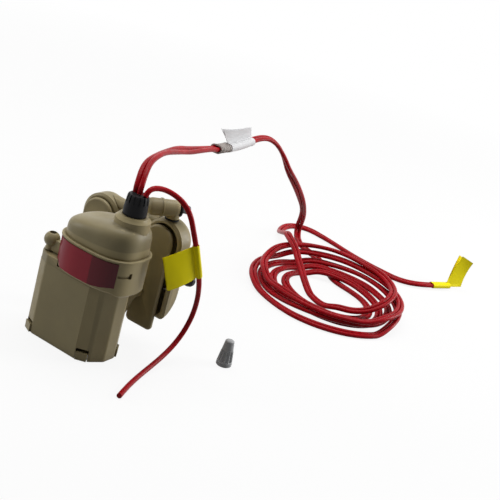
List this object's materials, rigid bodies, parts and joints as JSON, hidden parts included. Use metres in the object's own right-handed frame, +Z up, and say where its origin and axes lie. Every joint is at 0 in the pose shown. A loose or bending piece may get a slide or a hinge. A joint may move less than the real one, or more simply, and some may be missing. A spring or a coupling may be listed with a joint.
{
  "type": "submersible sump pump",
  "caption": "Small submersible sump pump in a moulded can with a domed cap, a rear float and riser unit with a swivelling outlet elbow, and long red lead wires with tags.",
  "frame": {"origin": "centre of the motor can on the plane that the pump stands on, on the motor axis", "axes": "+Z up along the motor axis, -Y towards the can's broad front face, +X towards the cap's high end with the cable gland"},
  "size_m": [0.1412, 0.3563, 0.1038],
  "materials": {
    "tan_plastic": "satin moulded",
    "grey_plastic": "satin moulded",
    "black_plastic": "smooth moulded",
    "white_plastic": "satin moulded",
    "black_rubber": "matt",
    "bright_steel": "ground",
    "plated_steel": "zinc plated",
    "lamination_steel": "stacked sheet",
    "copper_winding": "enamelled copper wire",
    "board_green": "solder resist",
    "capacitor_case": "drawn can",
    "label_red": "printed film",
    "red_wire": "extruded insulation",
    "clear_sleeve": "shrunk sleeve",
    "white_tag": "folded film",
    "yellow_tag": "folded film"
  },
  "bodies": {
    "pump": {"pump_casing": "tan_plastic", "strainer_base": "tan_plastic", "volute_housing": "grey_plastic", "motor_bulkhead": "tan_plastic", "shaft_seal": "black_rubber", "lower_bearing": "bright_steel", "upper_bearing": "bright_steel", "motor_shell": "plated_steel", "stator_core": "lamination_steel", "stator_winding_lower": "copper_winding", "stator_winding_upper": "copper_winding", "bearing_bracket": "plated_steel", "control_board": "board_green", "run_capacitor": "capacitor_case", "terminal_block": "white_plastic", "domed_cap": "tan_plastic", "cap_screw_front": "bright_steel", "cap_screw_rear": "bright_steel", "cap_gasket": "black_rubber", "rating_label": "label_red", "cable_gland": "black_rubber", "crossover_duct": "tan_plastic", "float_chamber": "tan_plastic", "riser_chamber": "tan_plastic", "float_cover": "tan_plastic", "riser_cover": "tan_plastic", "rear_brace": "tan_plastic", "link_pipe": "tan_plastic", "float_rod": "bright_steel", "flap_pin": "bright_steel", "elbow_seal": "black_rubber", "lead_wire_1_run": "red_wire", "lead_wire_1_coil": "red_wire", "lead_wire_2_run": "red_wire", "lead_wire_2_coil": "red_wire", "lead_wire_3": "red_wire", "wire_sleeve": "clear_sleeve", "white_tag": "white_tag", "yellow_tag_near": "yellow_tag", "yellow_tag_far": "yellow_tag", "wire_connector": "grey_plastic"},
    "rotor": {"motor_shaft": "bright_steel", "rotor_core": "lamination_steel", "impeller": "black_plastic"},
    "elbow": {"outlet_elbow": "tan_plastic", "outlet_seal_ring": "black_rubber", "outlet_barb": "plated_steel"},
    "level_float": {"level_float": "white_plastic"},
    "check_flap": {"check_flap": "black_rubber"},
    "vent_plug": {"vent_plug": "black_plastic"}
  },
  "joints": [
    {"name": "rotor_spin", "type": "hinge", "parent": "pump", "child": "rotor", "pos_m": [0, 0, 0.02], "axis": [0, 0, 1], "continuous": true},
    {"name": "elbow_swivel", "type": "hinge", "parent": "pump", "child": "elbow", "pos_m": [0.0211, 0.0333, 0.0778], "axis": [0, 0, 1], "range_deg": [-30, 30]},
    {"name": "float_slide", "type": "slide", "parent": "pump", "child": "level_float", "axis": [0, 0, 1], "range_m": [0, 0.018]},
    {"name": "flap_hinge", "type": "hinge", "parent": "pump", "child": "check_flap", "pos_m": [0.0165, 0.0327, 0.035], "axis": [1, 0, 0], "range_deg": [0, 40]},
    {"name": "vent_turn", "type": "hinge", "parent": "pump", "child": "vent_plug", "pos_m": [0.0327, 0.036, 0.044], "axis": [1, 0, 0], "range_deg": [0, 90]}
  ]
}
